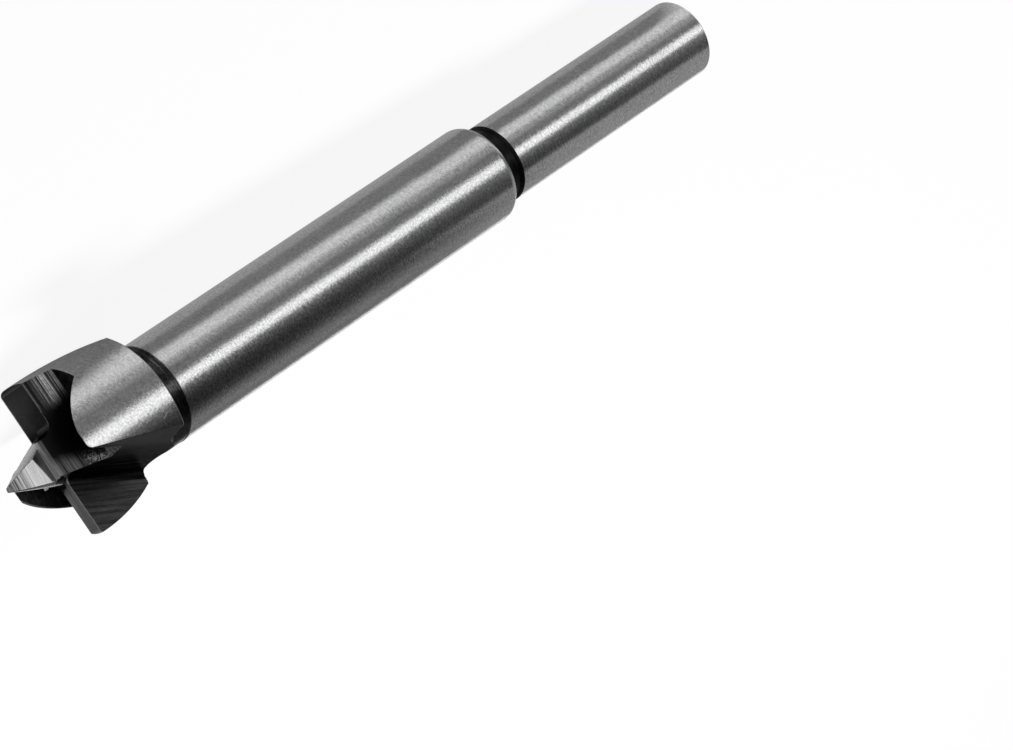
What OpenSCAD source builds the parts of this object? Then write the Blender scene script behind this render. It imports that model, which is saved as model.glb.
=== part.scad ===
// Forstner bit for a drill: plain round shank, ground body, two-lipped cutting head with a
// pointed centre. It lies on its side, resting on the head and on the shank's end.
// Lengths are in millimetres and angles in degrees.

/* [Shank] */
// Diameter of the plain round shank that goes into the chuck
shank_d = 8; // [6:0.1:9]
// Length of the shank
shank_len = 28.1; // [20:0.1:40]
// Break on the edge of the shank's end
shank_chamfer = 0.3; // [0.1:0.05:0.8]
// Width of the relief groove between shank and body
groove_w = 1.8; // [1:0.1:3]
// Depth of the relief groove below the shank
groove_depth = 0.3; // [0.1:0.05:0.8]

/* [Body] */
// Diameter of the ground body
body_d = 9.9; // [9.3:0.1:12]
// Length of the ground body
body_len = 44.2; // [30:0.2:70]
// Radial drop of the lead-in on the body's shank end
lead_in_drop = 0.6; // [0.2:0.05:0.8]
// Length of that lead-in along the axis
lead_in_len = 0.9; // [0.3:0.1:2]
// Length of the unground neck behind the head
neck_len = 2.8; // [1.8:0.1:5]
// Depth of the neck below the ground body
neck_depth = 0.05; // [0.02:0.01:0.3]
// Radius of the hollow between neck and head
neck_fillet = 0.7; // [0.3:0.05:1.2]

/* [Head] */
// Cutting diameter
head_d = 15; // [13.5:0.1:18]
// Length of the head from the cutting edges to its rear rim
head_len = 9.65; // [8:0.05:14]
// Break on the head's rear rim
rear_chamfer = 0.15; // [0.05:0.05:0.5]
// How far the scoring rim stands ahead of the cutting edges
rim_lead = 0.33; // [0.1:0.01:0.5]
// Width of the scoring rim's crest
rim_land = 0.06; // [0.03:0.01:0.2]

/* [Gullets] */
// Rake of the cutting faces
rake = 26; // [18:0.5:32]
// How far each cutting edge lies ahead of the axis
edge_ahead = 0.66; // [0.3:0.02:1.1]
// Distance from the axis to the gullet's root, along the cutting edge
web = 1.82; // [1.5:0.02:2.2]
// Outward lean of the gullet's root towards the rear
root_lean = 17.2; // [12:0.1:20]
// Radius in the gullet's root
root_fillet = 0.7; // [0.3:0.05:1]

/* [Lips] */
// Relief of the flank behind each cutting edge
relief = 15; // [8:0.5:20]
// Width of the flank
lip_w = 3.13; // [2.6:0.05:3.8]
// Distance from the axis to the flank's inner wall
flank_in = 2.15; // [2:0.05:2.6]
// Radius between flank and inner wall
flank_fillet = 1.1; // [0.4:0.05:1.4]
// Distance from the axis to the raised heel beside the point
heel_in = 0.7; // [0.4:0.05:1]
// Break on the lip's outer corner
lip_corner = 0.45; // [0.2:0.05:0.8]

/* [Slots] */
// Depth of the slot behind each lip, below the scoring rim
slot_depth = 4.07; // [3:0.01:5]
// Fall of the slot's floor towards the rim
slot_fall = 0.18; // [0.05:0.01:0.6]
// Lean of the slot wall on the lip's side
heel_lean = 17.6; // [12:0.1:20]
// Lean of the slot wall on the rim's side
rim_lean = 26; // [22:0.5:31]

/* [Centre point] */
// Height of the point above the cutting edges
point_len = 5.15; // [4.6:0.05:7]
// Radius of the point at the cutting edges
point_r = 2.18; // [1.9:0.01:2.4]
// Angle between the point's flank and the axis at its tip
point_half = 39; // [32:0.1:48]
// Lean of the flats ground on the point
flat_lean = 16.3; // [14:0.1:20]
// Turn of those flats about the axis
flat_turn = 11.4; // [8:0.5:24]
// Distance from the axis to the short flat behind each leaning one
flat_r = 1.03; // [0.95:0.01:1.3]
// Turn of the short flats about the axis
short_turn = 7.9; // [4:0.2:20]
// Length of the flats along the axis
flat_len = 4.22; // [3.8:0.02:4.6]

/* [Hidden] */
$fn = 96;
steel = [0.66, 0.66, 0.67];

shank_r = shank_d / 2;
body_r = body_d / 2;
head_r = head_d / 2;
neck_r = body_r - neck_depth;
groove_r = shank_r - groove_depth;
groove_fillet = min(0.4, (groove_w - groove_depth) / 3);

// heights along the axis from the shank's end
body_at = shank_len + groove_w;
neck_at = body_at + body_len;
rear_at = neck_at + neck_len;
edge_at = rear_at + head_len;
tip_at = edge_at + point_len;
rim_at = edge_at + rim_lead;
reach = head_d + point_len + head_len;

// the point's outline is one arc through the tip and the root circle
chord = norm([point_r, point_len]);
chord_lean = atan(point_r / point_len);
bow = point_half - chord_lean;
arc_r = chord / (2 * sin(bow));
arc_x = -arc_r * cos(point_half);
arc_z = -arc_r * sin(point_half);

// slot section, measured from the axis and from the level of the cutting edges
heel_y = lip_w * cos(relief) - edge_ahead;
heel_z = -lip_w * sin(relief);
floor_z = rim_lead - slot_depth;
rim_y = head_r - rim_land;
left_y = heel_y + (heel_z - floor_z - slot_fall) * tan(heel_lean);
right_y = rim_y - slot_depth * tan(rim_lean);
front_z = point_len + 2;

// where the head touches down: a lip's outer corner and the next land's rear corner
bevel_0 = lip_corner / (1 - tan(relief) * tan(rake));
bevel_y = bevel_0 * tan(rake) - edge_ahead;
bevel_z = (lip_corner - bevel_y * bevel_y / head_d) / (1 - tan(relief) * tan(rake));
lip_y = bevel_z * tan(rake) - edge_ahead;
lip_x = -sqrt(head_r * head_r - lip_y * lip_y);
lip_z = edge_at - bevel_z;
wall_n = [cos(root_lean), sin(root_lean) * sin(rake), sin(root_lean) * cos(rake)];
land_z = rear_at + rear_chamfer;
wall_d = wall_n * [web, edge_ahead, edge_at - land_z];
wall_across = norm([wall_n[0], wall_n[1]]);
land_turn = 180 + atan2(wall_n[1], wall_n[0]) + acos(wall_d / wall_across / head_r);
land_x = head_r * cos(land_turn);
land_y = head_r * sin(land_turn);

// the floor touches both corners and the shank's end
lip_up = lip_z - shank_chamfer;
land_up = land_z - shank_chamfer;
mix = [lip_up * land_x - land_up * lip_x, lip_up * land_y - land_up * lip_y];
down_turn = atan2(mix[1], mix[0]) - acos((lip_up - land_up) * shank_r / norm(mix));
lip_drop = lip_x * cos(down_turn) + lip_y * sin(down_turn);
tilt = atan((shank_r - lip_drop) / lip_up);
lift = shank_r * cos(tilt) + shank_chamfer * sin(tilt);
low_x = (shank_r - shank_chamfer) * sin(tilt);
mid_x = (tip_at * cos(tilt) + low_x) / 2;

// half section of everything that is turned, apart from the point
module turned_section() {
    polygon([
        [0, 0],
        [shank_r - shank_chamfer, 0],
        [shank_r, shank_chamfer],
        [shank_r, shank_len],
        [groove_r, shank_len + groove_depth],
        [groove_r, body_at],
        [body_r - lead_in_drop, body_at],
        [body_r, body_at + lead_in_len],
        [body_r, neck_at],
        [neck_r, neck_at],
        [neck_r, rear_at],
        [head_r - rear_chamfer, rear_at],
        [head_r, rear_at + rear_chamfer],
        [head_r, rim_at],
        [0, rim_at]
    ]);
    hollow(neck_r, rear_at, neck_fillet);
    hollow(groove_r, body_at, groove_fillet);
}

// hollow corner in the half section under a face at height z
module hollow(r, z, radius) {
    difference() {
        translate([r - 0.01, z - radius])
            square([radius + 0.01, radius + 0.01]);
        translate([r + radius, z - radius])
            circle(r = radius);
    }
}

// half section of the point
module point_section() {
    intersection() {
        translate([arc_x, tip_at + arc_z])
            circle(r = arc_r);
        translate([0, edge_at - 1])
            square([point_r + 1, point_len + 2]);
    }
}

// corner of a square region, rounded where it starts
module rounded_corner(radius, size) {
    translate([radius, 0])
        square([size, size + radius]);
    translate([0, radius])
        square([size + radius, size]);
    translate([radius, radius])
        circle(r = radius);
}

// square-cornered gullet in front of a lip, bounded by the cutting face and the land's end wall
module gullet() {
    translate([web, edge_ahead, 0])
        rotate([-rake, 0, 0])
        rotate([0, -root_lean, 0])
        linear_extrude(height = 2 * reach, center = true)
        rounded_corner(root_fillet, reach);
}

// slot behind a lip, which leaves the scoring rim outside it
module slot() {
    rotate([90, 0, 90])
        linear_extrude(height = 2 * reach, center = true)
        polygon([
            [heel_y + (heel_z - front_z) * tan(heel_lean), front_z],
            [left_y, floor_z + slot_fall],
            [right_y, floor_z],
            [rim_y + (front_z - rim_lead) * tan(rim_lean), front_z]
        ]);
}

// what is ground off above a lip's flank
module flank() {
    outer = head_r - lip_corner;
    translate([0, -edge_ahead, 0])
        rotate([-relief, 0, 0])
        rotate([90, 0, 0]) {
            translate([0, 0, -lip_w - 0.4])
                linear_extrude(height = lip_w + reach) {
                    translate([-flank_in, 0])
                        mirror([1, 0])
                        rounded_corner(flank_fillet, reach);
                    polygon([
                        [-outer, 0],
                        [-outer - 2, -2],
                        [-outer - 2, 2],
                        [-outer, 2]
                    ]);
                }
            translate([-reach, 0, -edge_ahead - heel_in])
                cube([reach, reach, edge_ahead + 2 * heel_in]);
        }
}

// raised heel between the point and a slot
module heel() {
    translate([-flank_in - flank_fillet, heel_in, -1])
        cube([flank_in + flank_fillet + 1.5, heel_y, point_len - flat_len + 1]);
}

// two flats ground one after the other on a side of the point
module point_flats() {
    translate([0, 0, point_len])
        rotate([0, 0, -flat_turn])
        rotate([90, 0, 90])
        linear_extrude(height = 4 * point_r, center = true)
        polygon([
            [-tan(flat_lean), 1],
            [flat_len * tan(flat_lean), -flat_len],
            [4 * point_r, -flat_len],
            [4 * point_r, 1]
        ]);
    translate([0, 0, point_len - flat_len])
        rotate([0, 0, -short_turn])
        translate([-2 * point_r, flat_r, 0])
        cube([4 * point_r, 4 * point_r, flat_len + 1]);
}

// both sides of the head, in the level of the cutting edges
module both_sides() {
    translate([0, 0, edge_at])
        for (turn = [0, 180])
            rotate([0, 0, turn])
                children();
}

// the bit upright, tip at the top
module upright() {
    difference() {
        union() {
            difference() {
                union() {
                    rotate_extrude()
                        turned_section();
                    both_sides()
                        heel();
                }
                both_sides()
                    flank();
            }
            rotate_extrude()
                point_section();
        }
        both_sides() {
            gullet();
            slot();
            point_flats();
        }
    }
}

module bit() {
    color(steel)
        translate([-mid_x, 0, lift])
        rotate([0, 90 + tilt, 0])
        rotate([0, 0, -down_turn])
        upright();
}

bit();
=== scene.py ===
"""Forstner bit lying on a pale floor: the blank is turned, the head is ground from it, and each
grinding pass leaves its own finish. Lengths in the making are millimetres in the upright tool's
frame: Z runs along the axis from the shank's end to the tip."""

import math

import bmesh
import bpy
from mathutils import Matrix, Vector


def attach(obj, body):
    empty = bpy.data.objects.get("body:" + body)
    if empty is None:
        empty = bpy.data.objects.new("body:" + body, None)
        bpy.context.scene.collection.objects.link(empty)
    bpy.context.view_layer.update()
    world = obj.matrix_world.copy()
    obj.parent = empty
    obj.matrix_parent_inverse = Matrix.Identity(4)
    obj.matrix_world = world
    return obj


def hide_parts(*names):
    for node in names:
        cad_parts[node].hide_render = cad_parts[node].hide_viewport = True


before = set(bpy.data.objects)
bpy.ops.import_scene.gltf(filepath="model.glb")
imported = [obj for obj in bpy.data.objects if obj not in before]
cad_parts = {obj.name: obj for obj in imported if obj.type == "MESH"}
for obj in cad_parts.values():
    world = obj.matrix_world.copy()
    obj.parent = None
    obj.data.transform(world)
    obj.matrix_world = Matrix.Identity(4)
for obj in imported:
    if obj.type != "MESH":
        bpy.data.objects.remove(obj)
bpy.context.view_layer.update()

MM = 0.001

# Turned sizes
SHANK_R = 4.0
SHANK_LEN = 28.1
SHANK_CHAMFER = 0.3
GROOVE_W = 1.8
GROOVE_DEPTH = 0.3
GROOVE_FILLET = 0.4
BODY_R = 4.95
BODY_LEN = 44.2
LEAD_IN_DROP = 0.6
LEAD_IN_LEN = 0.9
NECK_LEN = 2.8
NECK_DEPTH = 0.05
NECK_FILLET = 0.7
HEAD_R = 7.5
HEAD_LEN = 9.65
REAR_CHAMFER = 0.15
RIM_LEAD = 0.33

# Ground sizes of the head, alike on both sides
RAKE = 26.0
EDGE_AHEAD = 0.66
WEB = 1.82
ROOT_LEAN = 17.2
ROOT_FILLET = 0.7
RELIEF = 15.0
LIP_W = 3.13
LIP_CORNER = 0.52
LIP_ROUND = 0.55
FLANK_FILLET = 1.1
HEEL_IN = 0.7
HEEL_UP = 0.93
HEEL_PAST = 1.5
SLOT_DEPTH = 4.07
SLOT_FALL = 0.18
HEEL_LEAN = 17.6

# Ground sizes of the two sides, as uneven as on the photographed tool
FLANK_IN = (2.15, 1.75)
RIM_LAND = (0.06, 0.16)
RIM_LEAN = (26.0, 20.0)
RIM_ROUND = (0.7, 1.6)

# Centre point: turned a little off the axis, with flats that meet in a short edge below its apex
POINT_LEN = 5.15
POINT_APEX = 5.45
POINT_R = 2.255
POINT_HALF = 25.0
POINT_OFF = -0.12
FLAT_AT = 5.09
FLAT_LEAN = 15.06
FLAT_TURN = 11.3
FLAT_R = 0.956
SHORT_TURN = 7.9

# Heights along the axis
BODY_AT = SHANK_LEN + GROOVE_W
NECK_AT = BODY_AT + BODY_LEN
REAR_AT = NECK_AT + NECK_LEN
EDGE_AT = REAR_AT + HEAD_LEN
TIP_AT = EDGE_AT + POINT_LEN
RIM_AT = EDGE_AT + RIM_LEAD

# The lying pose: turn about the axis, tilt, and place in the row frame
DOWN_TURN = -150.29899335771626
TILT = -1.810079206762322
LIFT = 3.9885281009237343
MID_X = 45.76868654714363

# Facets of what is turned or rounded
STEPS = 288
START_TURN = 0.43
ARC_STEPS = 10
LEAD_STEPS = 16
POINT_STEPS = 40

# Size of the grinding tools, and how far they run past the steel
REACH = 30.0
SPARE = 1.0
FLANK_SPARE = 0.4
RIM_TOOL_IN = 2.5

# Limits for telling the sides of a tool apart by their normals
STRAIGHT = 0.999
NEARLY = 0.9

# Breaking of the edges
SAME_PLACE = 1e-5
AXIS_MERGE = 1e-4
CUT_MERGE = 0.004
SHARP_ANGLE = 20.0
EDGE_BREAK = 0.04
KEEN_SHARE = 0.4


def deg(angle):
    return math.radians(angle)


def tan(angle):
    return math.tan(deg(angle))


def turn(angle, axis):
    return Matrix.Rotation(deg(angle), 4, axis)


def shift(x, y, z):
    return Matrix.Translation((x, y, z))


LYING = shift(-MID_X, 0, LIFT) @ turn(90 + TILT, "Y") @ turn(-DOWN_TURN, "Z")
SIDES = [shift(0, 0, EDGE_AT) @ turn(angle, "Z") for angle in (0, 180)]
GULLET_FRAME = turn(-RAKE, "X") @ turn(-ROOT_LEAN, "Y")
HEEL_Y = LIP_W * math.cos(deg(RELIEF)) - EDGE_AHEAD
HEEL_Z = -LIP_W * math.sin(deg(RELIEF))


# Finishes, several of which carry painted light and shade

FINISHES = []
FINISH_INDEX = {}

# The steel's grey is a trace cooler than neutral
COOL = 1.01

# Part of a noise's range that holds nearly all its values
NOISE_RANGE = (0.3, 0.7)

# Stops of the finishes' grey ramps: place and grey
WALL_RISE = ((0.2, 0.025), (0.3, 0.03), (0.4, 0.036), (0.475, 0.045),
             (0.575, 0.058), (0.675, 0.085), (0.775, 0.118), (0.875, 0.145))
WALL_RISE_LEN = 8.0
HEEL_TOP_STRIPES = ((0.0, 0.5), (0.1, 0.85), (0.25, 0.85), (0.31, 0.5),
                    (0.42, 0.75), (0.62, 0.65), (0.72, 0.28), (1.0, 0.3))
# Bands of painted light down the slot wall, by depth, at its open end and at its gullet end
OPEN_END_LIGHT_BANDS = ((0.39, 0.5), (0.42, 0.1), (0.55, 0.14), (0.6, 0.6), (0.68, 0.9),
                  (0.8, 1.0), (0.85, 0.15), (0.9, 0.35), (0.95, 0.45), (1.0, 0.15))
GULLET_END_LIGHT_BANDS = ((0.05, 0.6), (0.38, 0.7), (0.45, 0.3),
                    (0.55, 0.3), (0.62, 1.0), (0.95, 1.0))


def set_stops(ramp, stops, cool=1.0):
    """Gives a colour ramp its stops, in greys."""
    marks = ramp.color_ramp.elements
    for number, (place, grey) in enumerate(stops):
        mark = marks[number] if number < 2 else marks.new(place)
        mark.position = place
        mark.color = (grey, grey, grey * cool, 1)


class Graph:
    """Short way to write a material's nodes."""

    def __init__(self, name):
        self.material = bpy.data.materials.new(name)
        self.material.use_nodes = True
        self.tree = self.material.node_tree
        self.shader = self.tree.nodes["Principled BSDF"]
        FINISH_INDEX[name] = len(FINISHES)
        FINISHES.append(self.material)

    def add(self, kind, inputs=None, **settings):
        made = self.tree.nodes.new("ShaderNode" + kind)
        for key, value in settings.items():
            setattr(made, key, value)
        for key, value in (inputs or {}).items():
            self.put(value, made.inputs[key])
        return made

    def put(self, value, socket):
        if isinstance(value, bpy.types.NodeSocket):
            self.tree.links.new(value, socket)
        else:
            socket.default_value = value

    def tool_axes(self):
        """Place in the upright tool's frame, in millimetres."""
        place = self.add("TexCoord").outputs["Object"]
        mapping = self.add("Mapping", {"Vector": place}, vector_type="TEXTURE")
        mapping.inputs["Location"].default_value = LYING.translation * MM
        mapping.inputs["Rotation"].default_value = LYING.to_euler("XYZ")
        mapping.inputs["Scale"].default_value = (MM, MM, MM)
        return mapping.outputs["Vector"]

    def one_side(self, vector, key):
        """Turns the half of the head where a coordinate is negative onto the other half."""
        split = self.add("SeparateXYZ", {"Vector": vector})
        sign = self.math("SIGN", split.outputs[key])
        x = self.math("MULTIPLY", split.outputs["X"], sign)
        y = self.math("MULTIPLY", split.outputs["Y"], sign)
        joined = self.add("CombineXYZ", {"X": x, "Y": y, "Z": split.outputs["Z"]})
        return joined.outputs["Vector"]

    def along(self, vector, direction, start):
        """Distance from a start along a direction."""
        made = self.add("VectorMath", {0: vector, 1: direction}, operation="DOT_PRODUCT")
        return self.math("SUBTRACT", made.outputs["Value"], direction.dot(start))

    def split(self, vector, key):
        return self.add("SeparateXYZ", {"Vector": vector}).outputs[key]

    def stretched(self, vector, lengths, tilted=None):
        """Coordinates in a tilted frame, in units of a length along each of its axes."""
        mapping = self.add("Mapping", {"Vector": vector}, vector_type="TEXTURE")
        mapping.inputs["Rotation"].default_value = (tilted or Matrix()).to_euler("XYZ")
        mapping.inputs["Scale"].default_value = lengths
        return mapping.outputs["Vector"]

    def grain(self, vector, lengths, detail=2.0, rough=0.5, tilted=None):
        """Noise with a grain of its own length along each axis of a tilted frame."""
        place = self.stretched(vector, lengths, tilted)
        made = self.add("TexNoise", {"Vector": place, "Scale": 1.0, "Detail": detail,
                                     "Roughness": rough})
        return made.outputs["Fac"]

    def span(self, value, low, high, to_low, to_high):
        made = self.add("MapRange", {"Value": value, "From Min": low, "From Max": high,
                                     "To Min": to_low, "To Max": to_high})
        return made.outputs["Result"]

    def sway(self, noise, to_low, to_high):
        """A noise spread over a range."""
        return self.span(noise, *NOISE_RANGE, to_low, to_high)

    def times(self, first, *others):
        for other in others:
            first = self.math("MULTIPLY", first, other)
        return first

    def math(self, operation, a, b=0.0):
        made = self.add("Math", operation=operation)
        self.put(a, made.inputs[0])
        self.put(b, made.inputs[1])
        return made.outputs[0]

    def greys(self, value, stops):
        ramp = self.add("ValToRGB", {"Fac": value})
        set_stops(ramp, stops, COOL)
        return ramp.outputs["Color"]

    def finish(self, grey, roughness, relief, edge=1.0, metal=1.0):
        """Joins the shader: grey, roughness, and a relief of height, strength and depth."""
        height, strength, depth = relief
        blue = self.math("MULTIPLY", grey, COOL)
        colour = self.add("CombineColor", {"Red": grey, "Green": grey, "Blue": blue})
        bump = self.add("Bump", {"Height": height, "Strength": strength, "Distance": depth * MM})
        self.put(colour.outputs["Color"], self.shader.inputs["Base Color"])
        self.put(roughness, self.shader.inputs["Roughness"])
        self.put(bump.outputs["Normal"], self.shader.inputs["Normal"])
        self.shader.inputs["Metallic"].default_value = metal
        self.shader.inputs["Specular Tint"].default_value = (edge, edge, edge, 1)


def ground_steel():
    """Cylindrically ground steel: fine rings, a mottled grain, a few pits and short scratches."""
    g = Graph("ground_steel")
    axes = g.tool_axes()
    rings = g.grain(axes, (2.5, 2.5, 0.09), 3.0, 0.6)
    soft = g.grain(axes, (0.26, 0.26, 0.2), 4.0, 0.75)
    cloud = g.grain(axes, (3.0, 3.0, 5.0))
    pits = g.add("TexVoronoi", {"Vector": g.stretched(axes, (1.9, 1.9, 1.9)), "Scale": 1.0})
    pick = g.add("SeparateColor", {"Color": pits.outputs["Color"]})
    pit = g.times(g.span(pick.outputs["Red"], 0.93, 0.94, 0.0, 1.0),
                  g.span(pits.outputs["Distance"], 0.04, 0.11, 1.0, 0.0))
    scratches = []
    for lean, length in ((35, 1.6), (-50, 1.1)):
        slant = turn(lean, "X") @ turn(lean, "Y")
        wave = g.grain(axes, (0.9, 0.9, 0.05 * length), 1.0, 0.4, slant)
        place = g.grain(axes, (2.2, 2.2, 2.2), 1.0, 0.4, turn(lean, "Z"))
        scratches.append(g.times(g.span(wave, 0.7, 0.74, 0.0, 1.0),
                                 g.span(place, 0.65, 0.72, 0.0, 1.0)))
    scratch = g.math("MAXIMUM", *scratches)
    grey = g.times(g.sway(soft, 0.38, 0.82), g.sway(rings, 0.92, 1.07), g.sway(cloud, 0.95, 1.04),
                   g.span(pit, 0.0, 1.0, 1.0, 0.3), g.span(scratch, 0.0, 1.0, 1.0, 1.25))
    rough = g.math("ADD", g.sway(soft, 0.16, 0.22), g.sway(rings, -0.015, 0.02))
    height = g.math("ADD", g.times(rings, 0.3), g.times(soft, 0.8))
    cuts = g.math("ADD", g.times(pit, 1.5), g.times(scratch, 0.3))
    g.finish(grey, rough, (g.math("SUBTRACT", height, cuts), 0.7, 0.016))


def turned_dark(name, low, high, rough, edge):
    """Unground steel, dark from hardening, with the turning tool's rings."""
    g = Graph(name)
    axes = g.tool_axes()
    rings = g.grain(axes, (3.0, 3.0, 0.11), 3.0, 0.7)
    fleck = g.grain(axes, (0.35, 0.35, 0.13), 3.0, 0.6)
    mixed = g.math("ADD", g.times(rings, 0.55), g.times(fleck, 0.45))
    grey = g.span(mixed, 0.46, 0.66, low, high)
    g.finish(grey, g.sway(fleck, rough * 0.8, rough * 1.25), (mixed, 0.7, 0.03), edge)


def wall_grey(g, axes, lines):
    """Grey of a gullet's wall: rising with the distance from the root, and painted lighter in
    front.
    """
    root = Vector((WEB, EDGE_AHEAD, EDGE_AT))
    away = g.along(axes, GULLET_FRAME.to_3x3() @ Vector((0, 1, 0)), root)
    ahead = g.along(axes, GULLET_FRAME.to_3x3() @ Vector((0, -1.6, 1)), root)
    rise = g.greys(g.times(away, 1 / WALL_RISE_LEN), WALL_RISE)
    swing = g.times(g.math("SUBTRACT", lines, 0.5), g.span(away, 2.0, 6.5, 7.0, 1.5))
    # painted light: up to 2.2 times brighter in front, which evens out where the rake's end cuts
    # off the wall's reflection
    return g.times(rise, g.math("ADD", swing, 1.0), g.span(ahead, -12.6, -10.2, 1.0, 2.2))


def root_grind(name, rough, edge, greys=None):
    """Steel ground along the gullet's root, with a painted highlight along the cutting edge. The
    gullet's wall has no pair of greys of its own."""
    g = Graph(name)
    axes = g.one_side(g.tool_axes(), "X")
    fine = g.grain(axes, (0.07, 0.07, 5.0), 2.0, 0.6, GULLET_FRAME)
    broad = g.grain(axes, (0.34, 0.34, 9.0), 2.0, 0.55, GULLET_FRAME)
    spots = g.grain(axes, (0.3, 0.3, 0.8), 3.0, 0.6, GULLET_FRAME)
    lines = g.math("ADD", g.times(fine, 0.5), g.times(broad, 0.5))
    if greys:
        grey = g.times(g.span(lines, 0.38, 0.62, *greys), g.sway(spots, 0.82, 1.15))
    else:
        grey = wall_grey(g, axes, lines)
    # painted highlight: a bright band just under the cutting edge's level, its lower border made
    # ragged by noise
    ragged_highlight_level = g.math("ADD", g.split(axes, "Z"), g.times(spots, 0.12))
    keen = g.span(ragged_highlight_level, EDGE_AT - 0.06, EDGE_AT, 0.0, 0.45)
    g.finish(g.math("ADD", grey, keen), g.sway(fine, rough * 0.85, rough * 1.2),
             (lines, 0.6, 0.02), edge)


def matt_flank(name, inner, edge):
    """Flank behind a cutting edge: dull and dark, with painted shade inwards and outwards,
    brighter on its rounded outer corner, and with painted highlights along its cutting edge and
    heel.
    """
    g = Graph(name)
    axes = g.one_side(g.tool_axes(), "X")
    soft = g.grain(axes, (0.3, 0.3, 0.3), 3.0, 0.6)
    fine = g.grain(axes, (0.9, 0.06, 0.06), 2.0, 0.6)
    glint_jitter = g.grain(axes, (0.14, 0.6, 0.6), 2.0, 0.6)
    out = g.split(axes, "X")
    corner = g.span(out, HEAD_R - LIP_CORNER, HEAD_R - 0.9 * LIP_CORNER, 1.0, 2.6)
    # painted shade: darker outwards, evening out the floor's reflection, and darker inwards into
    # the hollow by the slot
    grey = g.times(g.sway(soft, 0.062, 0.082), g.sway(fine, 0.92, 1.08),
                   g.span(out, 3.4, 6.9, 1.0, 0.34), g.span(out, 2.4, 3.4, inner, 1.0), corner)
    # painted highlights: a bright line along the cutting edge and a fainter one along the heel,
    # with ragged borders
    behind = g.math("SUBTRACT", EDGE_AHEAD, g.split(axes, "Y"))
    across = g.times(behind, 1 / math.cos(deg(RELIEF)))
    keen = g.span(g.math("ADD", across, g.times(glint_jitter, 0.16)), 0.12, 0.2, 0.5, 0.0)
    heel = g.times(g.span(across, LIP_W - 0.09, LIP_W - 0.04, 0.0, 0.3),
                   g.span(glint_jitter, 0.4, 0.6, 0.2, 1.0))
    grey = g.math("ADD", grey, g.math("MAXIMUM", keen, heel))
    g.finish(grey, g.sway(soft, 0.33, 0.41), (soft, 0.4, 0.02), edge)


def heel_top():
    """Top of the raised heel beside the point: pale, with the wheel's stripes."""
    g = Graph("heel_top")
    axes = g.one_side(g.tool_axes(), "Y")
    lines = g.grain(axes, (6.0, 0.07, 0.07), 2.0, 0.6)
    across = g.span(g.split(axes, "Y"), 0.9, 2.2, 0.0, 1.0)
    grey = g.times(g.span(lines, 0.38, 0.62, 0.4, 1.05), g.greys(across, HEEL_TOP_STRIPES))
    g.finish(grey, 0.5, (lines, 0.4, 0.02), metal=0.6)


def slot_wall():
    """Slot wall on the lip's side, with the wheel's stripes: painted light towards both ends of
    its run and painted shade in the middle.
    """
    g = Graph("heel_side")
    axes = g.one_side(g.tool_axes(), "Y")
    run = g.split(axes, "X")
    down = g.math("SUBTRACT", EDGE_AT, g.split(axes, "Z"))
    depth = g.span(down, -1.0, 3.6, 0.0, 1.0)
    lines = g.grain(axes, (14.0, 0.13, 0.13), 3.0, 0.7)
    speckle = g.grain(axes, (0.17, 0.14, 0.14), 2.0, 0.6)
    stripes = g.span(lines, 0.41, 0.59, 0.02, 1.5)

    # painted light towards the slot's open end, in bands by depth
    fade = g.math("ADD", run, g.times(g.math("SUBTRACT", lines, 0.5), 3.0))
    open_end_light = g.times(g.span(fade, -4.5, -3.6, 0.5, 0.0), g.sway(speckle, 0.5, 1.3), stripes,
                       g.greys(depth, OPEN_END_LIGHT_BANDS))

    # painted light towards the gullet, in bands by depth: striped above, speckled below
    painted_shade_edge = g.math("ADD", run, g.times(g.math("MAXIMUM", down, 0.0), -0.42))
    dots = g.span(speckle, 0.48, 0.6, 0.06, 1.5)
    deep = g.span(down, 1.2, 1.8, 0.0, 1.0)
    pattern = g.math("ADD", g.times(stripes, g.math("SUBTRACT", 1.0, deep)), g.times(dots, deep))
    gullet_end_light = g.times(g.span(painted_shade_edge, -0.3, 0.5, 0.0, 0.2), pattern,
                         g.greys(depth, GULLET_END_LIGHT_BANDS))

    # painted highlight along the wall's top edge
    top = g.times(g.span(down, -0.72, -0.5, 0.16, 0.0), stripes)
    grey = g.math("ADD", g.math("ADD", open_end_light, gullet_end_light), g.math("ADD", top, 0.014))
    g.finish(grey, g.sway(lines, 0.26, 0.36), (lines, 0.6, 0.02), edge=0.6)


def slot_plain(name, dark, pale, edge):
    """Slot floor, or wall on the rim's side: painted shade inside, paler where it runs out into
    the gullet, with a painted highlight along the rim's outer edge.
    """
    g = Graph(name)
    axes = g.one_side(g.tool_axes(), "Y")
    run = g.split(axes, "X")
    lines = g.grain(axes, (9.0, 0.2, 0.2), 3.0, 0.6)
    blot = g.grain(axes, (0.5, 0.5, 0.3), 3.0, 0.6)
    # painted shade: dark inside the slot, lifting towards where it runs out into the gullet
    grey = g.times(g.sway(lines, 0.7, 1.3), g.span(blot, 0.35, 0.65, 0.4, 1.6),
                   g.span(run, 0.3, 1.5, dark, pale))
    flat = g.stretched(axes, (1.0, 1.0, 1e6))
    out = g.add("VectorMath", {0: flat}, operation="LENGTH").outputs["Value"]
    # painted highlight along the outer edge of the rim
    grey = g.math("ADD", grey, g.span(out, HEAD_R - 0.1, HEAD_R - 0.04, 0.0, 0.3))
    rough = g.math("ADD", g.sway(blot, 0.28, 0.38), g.span(run, 0.9, 1.5, 0.0, 0.25))
    g.finish(grey, rough, (lines, 0.5, 0.02), edge)


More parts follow.
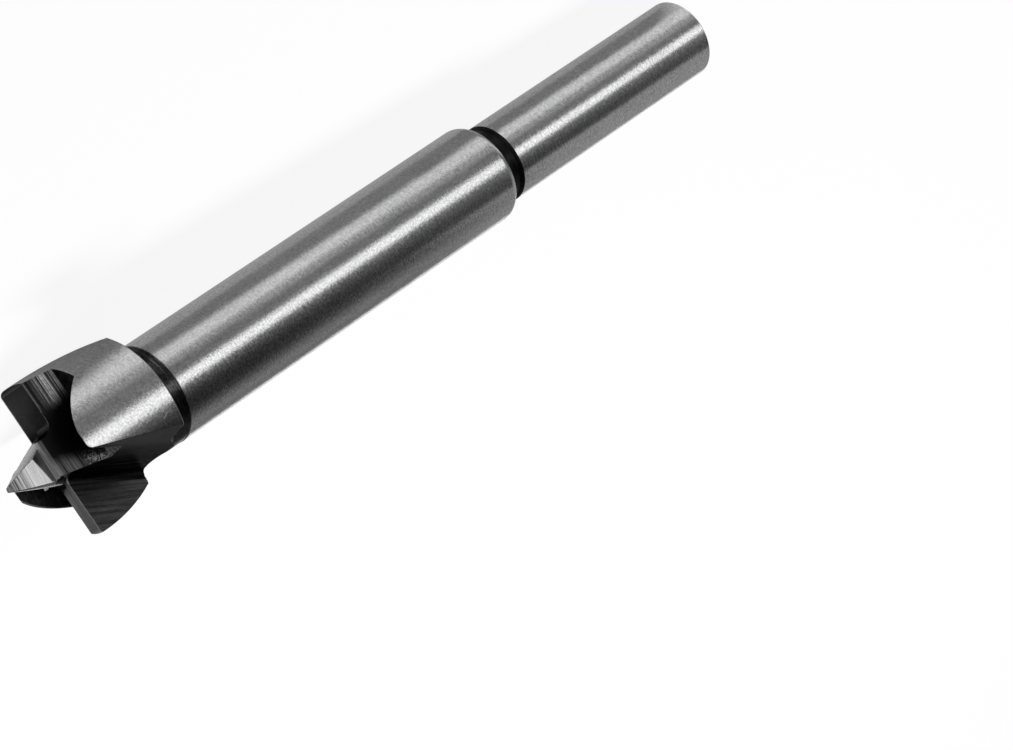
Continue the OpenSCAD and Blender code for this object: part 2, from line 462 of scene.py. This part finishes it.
def point_turned():
    """Turned side of the point: bright, with painted shade at its foot and where a gullet runs
    out.
    """
    g = Graph("point_turned")
    axes = g.one_side(g.tool_axes(), "X")
    level = g.split(axes, "Z")
    rings = g.grain(axes, (2.0, 2.0, 0.05), 2.0, 0.6)
    soft = g.grain(axes, (0.2, 0.2, 0.2), 3.0, 0.6)
    # painted shade at the point's foot and where a gullet runs out
    run_out = g.times(g.span(g.split(axes, "Y"), 0.1, 0.4, 0.0, 0.95),
                      g.span(level, EDGE_AT + 1.0, EDGE_AT + 0.85, 0.0, 1.0))
    foot = g.span(level, EDGE_AT + 0.5, EDGE_AT + 0.3, 0.0, 0.8)
    lit = g.math("SUBTRACT", 1.0, g.math("MAXIMUM", run_out, foot))
    grey = g.times(g.sway(soft, 0.31, 0.43), g.sway(rings, 0.92, 1.07), lit)
    g.finish(grey, g.sway(soft, 0.24, 0.32), (rings, 0.2, 0.006))


def flat_grind(name, tip, root, rough):
    """Flat on the point with cross lines, brighter away from the tip."""
    g = Graph(name)
    axes = g.one_side(g.tool_axes(), "Y")
    level = g.split(axes, "Z")
    lines = g.grain(axes, (4.0, 0.12, 0.12), 3.0, 0.65, turn(-FLAT_TURN, "Z"))
    rise = g.span(level, TIP_AT - 0.6, TIP_AT - 2.6, tip, root)
    depth = g.span(level, TIP_AT - 1.0, TIP_AT - 2.8, 0.8, 0.16)
    dip = g.math("ADD", g.times(g.span(lines, 0.4, 0.6, -1.0, 0.6), depth), 1.0)
    g.finish(g.times(rise, dip), rough, (lines, 0.3, 0.01))


ground_steel()
turned_dark("neck_steel", 0.02, 0.15, rough=0.2, edge=0.6)
turned_dark("groove_steel", 0.012, 0.035, rough=0.36, edge=1.0)
turned_dark("hollow_steel", 0.1, 0.2, rough=0.3, edge=0.8)
root_grind("rake_grind", rough=0.3, edge=0.6, greys=(0.07, 0.18))
# The root's fillet is nearly black: painted shade in the gullet's valley.
root_grind("gullet_root", rough=0.3, edge=0.3, greys=(0.004, 0.05))
root_grind("wall_grind", rough=0.32, edge=0.3)
matt_flank("lip_flank", inner=0.4, edge=0.66)
# The relief's fillet and wall get deeper painted shade inwards.
matt_flank("flank_hollow", inner=0.15, edge=0.3)
heel_top()
slot_wall()
slot_plain("slot_floor", dark=0.04, pale=0.6, edge=1.0)
slot_plain("rim_side", dark=0.04, pale=0.06, edge=0.6)
point_turned()
flat_grind("point_flat", tip=0.21, root=0.7, rough=0.2)
flat_grind("short_flat", tip=0.22, root=0.24, rough=0.3)


# Tools for making the solid


def as_object(name, bm):
    bmesh.ops.recalc_face_normals(bm, faces=bm.faces)
    mesh = bpy.data.meshes.new(name)
    bm.to_mesh(mesh)
    bm.free()
    for finish in FINISHES:
        mesh.materials.append(finish)
    made = bpy.data.objects.new(name, mesh)
    bpy.context.scene.collection.objects.link(made)
    return made


def arc(centre_r, centre_z, radius, start, end, steps=ARC_STEPS):
    """Points of a profile on a circle, from one angle to another."""
    angles = [deg(start + (end - start) * n / steps) for n in range(steps + 1)]
    return [(centre_r + radius * math.cos(a), centre_z + radius * math.sin(a)) for a in angles]


def box(x0, x1, y0, y1):
    return [(x0, y0), (x1, y0), (x1, y1), (x0, y1)]


def spun(bm, profile, steps, start=0.0):
    """Spins a profile of radius and height about the axis, in an open mesh."""
    points = [bm.verts.new((r, 0, z)) for r, z in profile]
    lines = [bm.edges.new(pair) for pair in zip(points, points[1:])]
    bmesh.ops.rotate(bm, verts=points, cent=(0, 0, 0), matrix=turn(start, "Z").to_3x3())
    bmesh.ops.spin(bm, geom=points + lines, cent=(0, 0, 0), axis=(0, 0, 1),
                   angle=2 * math.pi, steps=steps, use_merge=True)


def turned(name, profile, finish_at):
    """Solid turned from a profile, with a finish for each ring."""
    bm = bmesh.new()
    spun(bm, profile, STEPS, START_TURN)
    bmesh.ops.remove_doubles(bm, verts=bm.verts, dist=AXIS_MERGE)
    bmesh.ops.holes_fill(bm, edges=[e for e in bm.edges if e.is_boundary], sides=0)
    for face in bm.faces:
        middle = face.calc_center_median()
        finish = finish_at(math.hypot(middle.x, middle.y), middle.z)
        face.material_index = FINISH_INDEX[finish]
    return as_object(name, bm)


def prism(outline, start, end):
    """Outline in XY, drawn out along Z."""
    bm = bmesh.new()
    base = bm.faces.new([bm.verts.new((x, y, start)) for x, y in outline])
    out = bmesh.ops.extrude_face_region(bm, geom=[base])["geom"]
    top = [v for v in out if isinstance(v, bmesh.types.BMVert)]
    bmesh.ops.translate(bm, verts=top, vec=(0, 0, end - start))
    bmesh.ops.recalc_face_normals(bm, faces=bm.faces)
    return bm


def round_edge(bm, x, y, radius):
    """Rounds the edge of a prism that stands at x, y."""
    def stands_there(vert):
        return abs(vert.co.x - x) + abs(vert.co.y - y) < SAME_PLACE

    edges = [e for e in bm.edges if all(stands_there(v) for v in e.verts)]
    bmesh.ops.bevel(bm, geom=edges, offset=radius, offset_type="OFFSET", affect="EDGES",
                    segments=ARC_STEPS, profile=0.5, material=-1)


def paint(bm, finish_for):
    """Gives each face of a tool the finish that it leaves, from its normal."""
    for face in bm.faces:
        face.normal_update()
        face.material_index = FINISH_INDEX[finish_for(face.normal)]


def combine(blank, tool, operation):
    step = blank.modifiers.new(tool.name, "BOOLEAN")
    step.object = tool
    step.operation = operation
    step.solver = "MANIFOLD"
    step.material_mode = "INDEX"
    graph = bpy.context.evaluated_depsgraph_get()
    result = bpy.data.meshes.new_from_object(blank.evaluated_get(graph))
    blank.modifiers.clear()
    blank.data = result
    bpy.data.objects.remove(tool)


def work(blank, name, bm, matrix, finish_for, operation="DIFFERENCE"):
    """Paints a tool, puts it in place and cuts it from the blank, or joins it."""
    paint(bm, finish_for)
    bmesh.ops.transform(bm, matrix=matrix, verts=bm.verts)
    combine(blank, as_object(name, bm), operation)


# Finish for each face of a tool


def turned_finish(radius, z):
    """Finish of a ring of the blank, from its middle."""
    if SHANK_LEN < z < BODY_AT + 0.01:
        return "groove_steel"
    if REAR_AT - NECK_FILLET < z < REAR_AT and radius < HEAD_R - 1:
        return "hollow_steel"
    # The rear face and most of the rear chamfer take the dark neck finish too: painted shade where
    # the chamfer would show a bright reflection.
    if NECK_AT < z < REAR_AT + 0.9 * REAR_CHAMFER:
        return "neck_steel"
    return "ground_steel"


def relief_finish(normal):
    return "lip_flank" if normal.y < -STRAIGHT else "flank_hollow"


def gullet_finish(normal):
    if normal.y < -STRAIGHT:
        return "rake_grind"
    if normal.x < -STRAIGHT:
        return "wall_grind"
    return "gullet_root"


def slot_finish(normal):
    if normal.y < -NEARLY:
        return "slot_floor"
    return "heel_side" if normal.x < 0 else "rim_side"


# Steps of the making, in order


def turn_blank():
    """Shank, groove, body, neck and head, from one profile."""
    neck_r = BODY_R - NECK_DEPTH
    groove_r = SHANK_R - GROOVE_DEPTH
    lead_r = (LEAD_IN_DROP ** 2 + LEAD_IN_LEN ** 2) / (2 * LEAD_IN_DROP)
    lead_turn = math.degrees(math.asin(LEAD_IN_LEN / lead_r))
    profile = [(SHANK_R - SHANK_CHAMFER, 0), (SHANK_R, SHANK_CHAMFER), (SHANK_R, SHANK_LEN),
               (groove_r, SHANK_LEN + GROOVE_DEPTH)]
    profile += arc(groove_r + GROOVE_FILLET, BODY_AT - GROOVE_FILLET, GROOVE_FILLET, 180, 90)
    profile += arc(BODY_R - lead_r, BODY_AT + LEAD_IN_LEN, lead_r, -lead_turn, 0, LEAD_STEPS)
    profile += [(BODY_R, NECK_AT), (neck_r, NECK_AT)]
    profile += arc(neck_r + NECK_FILLET, REAR_AT - NECK_FILLET, NECK_FILLET, 180, 90)
    profile += [(HEAD_R - REAR_CHAMFER, REAR_AT), (HEAD_R, REAR_AT + REAR_CHAMFER),
                (HEAD_R, RIM_AT)]
    return turned("forstner_bit", profile, turned_finish)


def add_heels(blank):
    """Raised heels beside the point."""
    outline = box(-max(FLANK_IN) - FLANK_FILLET, HEEL_PAST, HEEL_IN, HEEL_IN + HEEL_Y)
    for side in SIDES:
        work(blank, "heel", prism(outline, -SPARE, HEEL_UP), side,
             lambda normal: "heel_top" if normal.z > NEARLY else "lip_flank", "UNION")


def grind_flanks(blank):
    """Relief with a rounded inner corner, rounded outer corner, and the level beside the point."""
    outer = HEAD_R - LIP_CORNER
    past = outer + 2 * SPARE
    rounding = arc(-outer, -LIP_ROUND, LIP_ROUND, 180, 90)
    rounding += [(-outer, 2 * SPARE), (-past, 2 * SPARE), (-past, -LIP_ROUND)]
    width = (-LIP_W - FLANK_SPARE, REACH - FLANK_SPARE)
    for side, flank_in in zip(SIDES, FLANK_IN):
        leaning = side @ shift(0, -EDGE_AHEAD, 0) @ turn(-RELIEF, "X") @ turn(90, "X")
        relief = prism(box(-REACH, -flank_in, 0, REACH), *width)
        round_edge(relief, -flank_in, 0, FLANK_FILLET)
        corner = prism(rounding, *width)
        level = prism(box(-REACH, 0, 0, REACH), -EDGE_AHEAD - HEEL_IN, HEEL_IN)
        work(blank, "flank", relief, leaning, relief_finish)
        work(blank, "flank", corner, leaning, lambda normal: "lip_flank")
        work(blank, "flank", level, leaning, lambda normal: "lip_flank")


def add_point(blank):
    """Centre point, one arc from the root circle to the apex."""
    apex = EDGE_AT + POINT_APEX
    chord_lean = math.degrees(math.atan(POINT_R / POINT_APEX))
    arc_r = math.hypot(POINT_R, POINT_APEX) / (2 * math.sin(deg(POINT_HALF - chord_lean)))
    centre_r = -arc_r * math.cos(deg(POINT_HALF))
    centre_z = -arc_r * math.sin(deg(POINT_HALF))
    low = math.degrees(math.asin((-POINT_APEX - SPARE - centre_z) / arc_r))
    profile = arc(centre_r, apex + centre_z, arc_r, low, POINT_HALF, POINT_STEPS)
    profile[-1] = (0, apex)
    point = turned("point", profile, lambda radius, z: "point_turned")
    point.data.transform(shift(POINT_OFF, 0, 0))
    combine(blank, point, "UNION")


def grind_gullets(blank):
    for side in SIDES:
        gullet = prism(box(0, REACH, 0, REACH), -2 * REACH, 2 * REACH)
        round_edge(gullet, 0, 0, ROOT_FILLET)
        work(blank, "gullet", gullet, side @ shift(WEB, EDGE_AHEAD, 0) @ GULLET_FRAME,
             gullet_finish)


def grind_slots(blank):
    """Slots behind the lips, which leave the scoring rims outside them."""
    floor_z = RIM_LEAD - SLOT_DEPTH
    front_z = POINT_LEN + 2 * SPARE
    left_y = HEEL_Y + (HEEL_Z - floor_z - SLOT_FALL) * tan(HEEL_LEAN)
    left_front_y = HEEL_Y + (HEEL_Z - front_z) * tan(HEEL_LEAN)
    for side, land, lean in zip(SIDES, RIM_LAND, RIM_LEAN):
        rim_y = HEAD_R - land
        right_y = rim_y - SLOT_DEPTH * tan(lean)
        right_front_y = rim_y + (front_z - RIM_LEAD) * tan(lean)
        slot = prism([(left_front_y, front_z), (left_y, floor_z + SLOT_FALL),
                      (right_y, floor_z), (right_front_y, front_z)], -REACH, REACH)
        work(blank, "slot", slot, side @ turn(90, "Z") @ turn(90, "X"), slot_finish)


def round_rims(blank):
    """Rounded corner where each scoring rim ends at a gullet."""
    lean = math.atan(tan(ROOT_LEAN) * math.cos(deg(RAKE)))
    for side, land, radius in zip(SIDES, RIM_LAND, RIM_ROUND):
        rim_in = (HEAD_R - land - EDGE_AHEAD) * tan(ROOT_LEAN) * math.sin(deg(RAKE))
        end_x = WEB - rim_in - RIM_LEAD * math.tan(lean)
        past_x = end_x + 3 * SPARE
        centre_x = end_x - radius * (1 - math.sin(lean)) / math.cos(lean)
        outline = arc(centre_x, RIM_LEAD - radius, radius, 90, math.degrees(lean))
        outline += [(past_x, outline[-1][1] + SPARE / 2), (past_x, RIM_LEAD + SPARE),
                    (centre_x, RIM_LEAD + SPARE)]
        corner = prism(outline, -HEAD_R - SPARE, -HEAD_R + RIM_TOOL_IN)
        work(blank, "rim_corner", corner, side @ turn(90, "X"), lambda normal: "wall_grind")


def grind_point(blank):
    """On each side of the point a leaning flat, and a short one behind it."""
    run = tan(FLAT_LEAN)
    length = FLAT_AT - HEEL_UP
    half, past = 2 * POINT_R, 4 * POINT_R
    leaning = [(-run * SPARE, SPARE), (length * run, -length), (past, -length), (past, SPARE)]
    for side in SIDES:
        place = side @ shift(0, 0, FLAT_AT) @ turn(90 - FLAT_TURN, "Z") @ turn(90, "X")
        work(blank, "flat", prism(leaning, -half, half), place,
             lambda normal: "heel_top" if normal.y < -STRAIGHT else "point_flat")
        place = side @ shift(0, 0, HEEL_UP) @ turn(-SHORT_TURN, "Z")
        short = prism(box(-half, half, FLAT_R, past), 0, length + SPARE)
        work(blank, "short_flat", short, place,
             lambda normal: "heel_top" if normal.z < -STRAIGHT else "short_flat")


def break_edges(bit):
    """Merges what the cuts left double, and breaks the sharp edges by a hair."""
    bm = bmesh.new()
    bm.from_mesh(bit.data)
    bmesh.ops.remove_doubles(bm, verts=bm.verts, dist=CUT_MERGE)
    bmesh.ops.dissolve_degenerate(bm, edges=bm.edges, dist=CUT_MERGE)
    for face in bm.faces:
        face.smooth = True
    weights = bm.edges.layers.float.new("bevel_weight_edge")
    keen = {FINISH_INDEX[name] for name in ("lip_flank", "rake_grind")}
    for edge in bm.edges:
        if len(edge.link_faces) == 2 and edge.calc_face_angle() > deg(SHARP_ANGLE):
            both = {face.material_index for face in edge.link_faces}
            edge[weights] = KEEN_SHARE if both == keen else 1.0
    bmesh.ops.transform(bm, matrix=Matrix.Scale(MM, 4) @ LYING, verts=bm.verts)
    bm.to_mesh(bit.data)
    bm.free()
    soft = bit.modifiers.new("edges", "BEVEL")
    soft.limit_method = "WEIGHT"
    soft.width = EDGE_BREAK * MM
    soft.segments = 2
    soft.profile = 0.5
    soft.material = -1
    soft.use_clamp_overlap = False
    soft.harden_normals = True
    soft.miter_outer = "MITER_SHARP"


bit = turn_blank()
for step in (add_heels, grind_flanks, add_point, grind_gullets, grind_slots, round_rims,
             grind_point, break_edges):
    step(bit)
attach(bit, "root")
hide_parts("bit")


# Floor, light and camera, in metres in the row frame

# Radius and height of the round floor's raised rim
FLOOR_RIM = ((2.0, 0), (2.4, 0.06), (2.6, 0.3), (2.65, 0.6))
FLOOR_STEPS = 64
FLOOR_GREY = 0.86

# Share of plain white in what the camera, reflections and clear things see of the floor
FLOOR_WHITE = (("Is Camera Ray", 0.9), ("Is Glossy Ray", 0.08), ("Is Transmission Ray", 0.08))

# Greys of the room from eye level up
ROOM = ((0.0, 0.11), (0.45, 0.27), (0.65, 0.19), (0.8, 0.014))

CAMERA_AT = (0.218893, -0.274455, 0.168982)
IMAGE_RIGHT = Vector((-0.6793260, -0.1622636, 0.7156722))
IMAGE_DOWN = Vector((0.4563796, 0.6702887, 0.5851757))
FORWARD = Vector((-0.5746598, 0.7241433, -0.3812907))
LENS = 148.585
SENSOR = 36

# The overhead light stands behind the bit, so that the shadow falls towards the camera
OVERHEAD = LYING.to_3x3().inverted() @ Vector((0.1, 0.63, 0.77))

# Corners of the glowing cards that only show in reflections, as painted pale and dark reflections.
# The back card's are an angle about the axis and a height along it, in millimetres.
LOW_CARD = ((-0.15, -0.014, 0.0002), (0.06, -0.04, 0.0002),
            (0.06, -0.04, 0.0085), (-0.15, -0.014, 0.007))
TIP_CARD = ((0.048, -0.12, 0.0004), (0.5, -0.12, 0.0004),
            (0.5, 0.4, 0.0004), (0.048, 0.4, 0.0004))
# The under card glows pale where the bit's own shadow lies on the floor: a painted reflection for
# the edges that face the floor.
UNDER_CARD = ((-0.06, -0.003, 0.0002), (0.03, -0.0055, 0.0002),
              (0.03, 0.012, 0.0002), (-0.06, 0.012, 0.0002))
POINT_CARD = ((0.0, -0.25, 0.19), (0.1, -0.25, 0.19), (0.1, -0.16, 0.26), (0.0, -0.16, 0.26))
BACK_CARD_R = 100
BACK_CARD = ((68, -30), (68, -250), (140, -250), (140, -30))


def floor_material():
    """White floor that keeps the shadow: white to the camera, paler than lit in reflections."""
    material = bpy.data.materials.new("floor_white")
    material.use_nodes = True
    nodes, links = material.node_tree.nodes, material.node_tree.links
    nodes.clear()
    out = nodes.new("ShaderNodeOutputMaterial")
    lit = nodes.new("ShaderNodeBsdfDiffuse")
    lit.inputs["Color"].default_value = (FLOOR_GREY, FLOOR_GREY, FLOOR_GREY, 1)
    glow = nodes.new("ShaderNodeEmission")
    path = nodes.new("ShaderNodeLightPath")
    share = None
    for ray, part in FLOOR_WHITE:
        add = nodes.new("ShaderNodeMath")
        add.operation = "MULTIPLY_ADD"
        links.new(path.outputs[ray], add.inputs[0])
        add.inputs[1].default_value = part
        add.inputs[2].default_value = 0.0
        if share is not None:
            links.new(share, add.inputs[2])
        share = add.outputs[0]
    mix = nodes.new("ShaderNodeMixShader")
    links.new(share, mix.inputs["Fac"])
    links.new(lit.outputs[0], mix.inputs[1])
    links.new(glow.outputs[0], mix.inputs[2])
    links.new(mix.outputs[0], out.inputs["Surface"])
    return material


def plain_object(name, bm, material):
    """Object of one material, from a mesh."""
    mesh = bpy.data.meshes.new(name)
    bm.to_mesh(mesh)
    bm.free()
    mesh.materials.append(material)
    made = bpy.data.objects.new(name, mesh)
    bpy.context.scene.collection.objects.link(made)
    return made


def make_floor():
    """Round floor with a raised rim, so that the background stays pale at eye level."""
    bm = bmesh.new()
    spun(bm, FLOOR_RIM, FLOOR_STEPS)
    inside = [e for e in bm.edges if e.is_boundary and all(v.co.z < SAME_PLACE for v in e.verts)]
    bmesh.ops.holes_fill(bm, edges=inside, sides=0)
    bmesh.ops.recalc_face_normals(bm, faces=bm.faces)
    floor = plain_object("floor", bm, floor_material())


def make_world():
    """Dim room: a paler wall above the floor, and a dark ceiling."""
    world = bpy.data.worlds.new("studio")
    bpy.context.scene.world = world
    world.use_nodes = True
    nodes, links = world.node_tree.nodes, world.node_tree.links
    place = nodes.new("ShaderNodeTexCoord")
    split = nodes.new("ShaderNodeSeparateXYZ")
    links.new(place.outputs["Generated"], split.inputs[0])
    ramp = nodes.new("ShaderNodeValToRGB")
    links.new(split.outputs["Z"], ramp.inputs["Fac"])
    set_stops(ramp, ROOM)
    links.new(ramp.outputs["Color"], nodes["Background"].inputs["Color"])


def flag(name, corners, grey):
    """Glowing card that only shows in reflections: a painted reflection."""
    material = bpy.data.materials.new(name)
    material.use_nodes = True
    nodes, links = material.node_tree.nodes, material.node_tree.links
    nodes.clear()
    glow = nodes.new("ShaderNodeEmission")
    glow.inputs["Color"].default_value = (grey, grey, grey, 1)
    links.new(glow.outputs[0], nodes.new("ShaderNodeOutputMaterial").inputs["Surface"])
    bm = bmesh.new()
    bm.faces.new([bm.verts.new(co) for co in corners])
    card = plain_object(name, bm, material)
    card.visible_camera = False
    card.visible_diffuse = False
    card.visible_shadow = False
    card.visible_transmission = False


def make_cards():
    flag("low_card", LOW_CARD, grey=0.42)
    flag("tip_card", TIP_CARD, grey=0.03)
    flag("under_card", UNDER_CARD, grey=0.4)
    back = []
    for angle, along in BACK_CARD:
        across = (math.sin(deg(angle)) * BACK_CARD_R, math.cos(deg(angle)) * BACK_CARD_R)
        back.append(LYING @ Vector((*across, along)) * MM)
    flag("back_card", back, grey=0.36)
    flag("point_card", POINT_CARD, grey=0.9)


def stand(right, up, back, place):
    """Matrix of an object from the directions of its own axes and its place."""
    return Matrix([*zip(right, up, back, place), (0, 0, 0, 1)])


def soft_light(name, direction, distance, size, power, glossy=True):
    """Soft box that looks at the bit from a direction in the upright tool's frame."""
    lamp = bpy.data.lights.new(name, "AREA")
    lamp.shape = "RECTANGLE"
    lamp.size, lamp.size_y = size
    lamp.energy = power
    made = bpy.data.objects.new(name, lamp)
    away = (LYING.to_3x3() @ Vector(direction)).normalized()
    across = away.cross(Vector((1, 0, 0))).normalized()
    along = across.cross(away).normalized()
    made.matrix_world = stand(along, across, away, away * distance)
    made.visible_camera = False
    made.visible_glossy = glossy
    bpy.context.scene.collection.objects.link(made)


def round_axis(angle, back):
    """Direction at an angle about the axis, from the camera's side, leaning to the shank."""
    across = math.sqrt(1 - back * back)
    return (across * math.sin(deg(angle)), across * math.cos(deg(angle)), back)


def make_camera():
    camera = bpy.data.cameras.new("camera")
    camera.lens = LENS
    camera.sensor_width = SENSOR
    camera.clip_start, camera.clip_end = 0.01, 100
    made = bpy.data.objects.new("camera", camera)
    made.matrix_world = stand(IMAGE_RIGHT, -IMAGE_DOWN, -FORWARD, CAMERA_AT)
    bpy.context.scene.collection.objects.link(made)
    bpy.context.scene.camera = made


make_floor()
make_world()
make_cards()
soft_light("strip", round_axis(angle=9.7, back=-0.3), distance=0.6, size=(0.75, 0.175),
           power=0.535)
soft_light("overhead", OVERHEAD, distance=0.5, size=(0.3, 0.11), power=3.0, glossy=False)
make_camera()

bpy.context.scene.view_settings.view_transform = "Standard"
